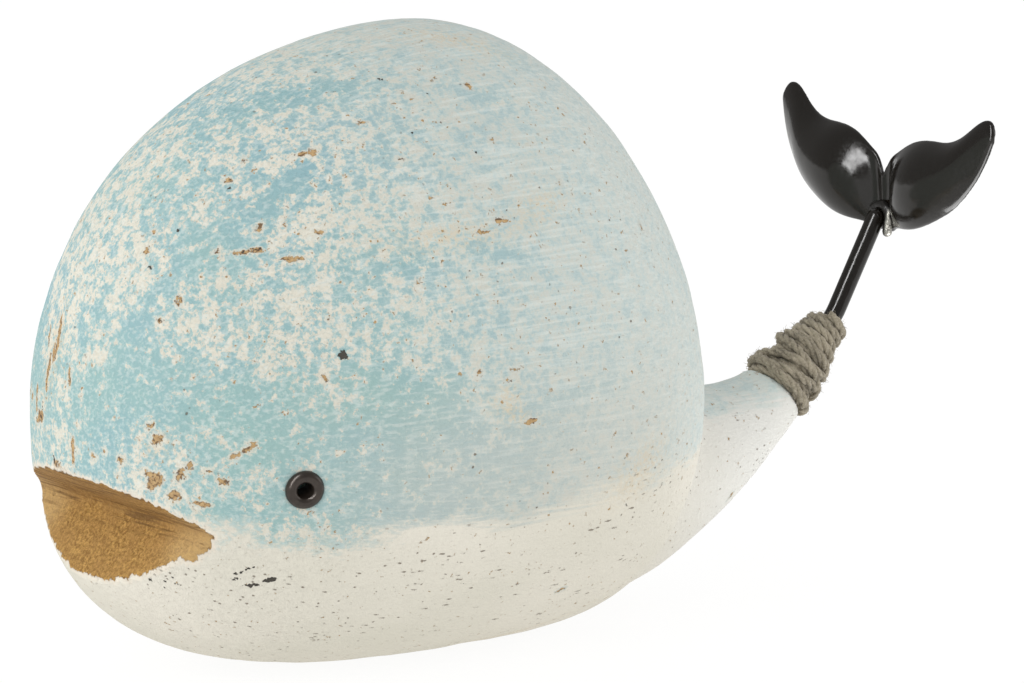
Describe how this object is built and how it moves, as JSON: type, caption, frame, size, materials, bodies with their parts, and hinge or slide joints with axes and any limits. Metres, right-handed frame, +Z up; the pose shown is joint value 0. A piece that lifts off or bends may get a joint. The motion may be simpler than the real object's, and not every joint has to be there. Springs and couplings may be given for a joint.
{
  "type": "whale ornament",
  "caption": "Free-standing carved and painted wooden whale with metal eyelet eyes, and a twine-bound bent rod tail that ends in a forked sheet-metal fluke.",
  "frame": {"origin": "on the flat resting face, on the mid-plane, under the widest section of the body", "axes": "+Z up, head towards -X, tail towards +X, the whale's right side towards +Y"},
  "size_m": [0.2137, 0.114, 0.127],
  "materials": {
    "painted_wood": "chalky blue paint rubbed back to white and bare wood, matt",
    "black_metal": "gloss black enamel",
    "weld_metal": "bare bead, satin",
    "twine": "undyed twisted jute, dry and hairy",
    "eyelet_bronze": "blackened, gloss"
  },
  "bodies": {
    "root": {"body": "painted_wood", "tail_rod": "black_metal", "fluke": "black_metal", "tail_weld": "weld_metal", "twine_wrap": "twine", "eyelet_left": "eyelet_bronze", "eyelet_right": "eyelet_bronze"}
  },
  "joints": []
}
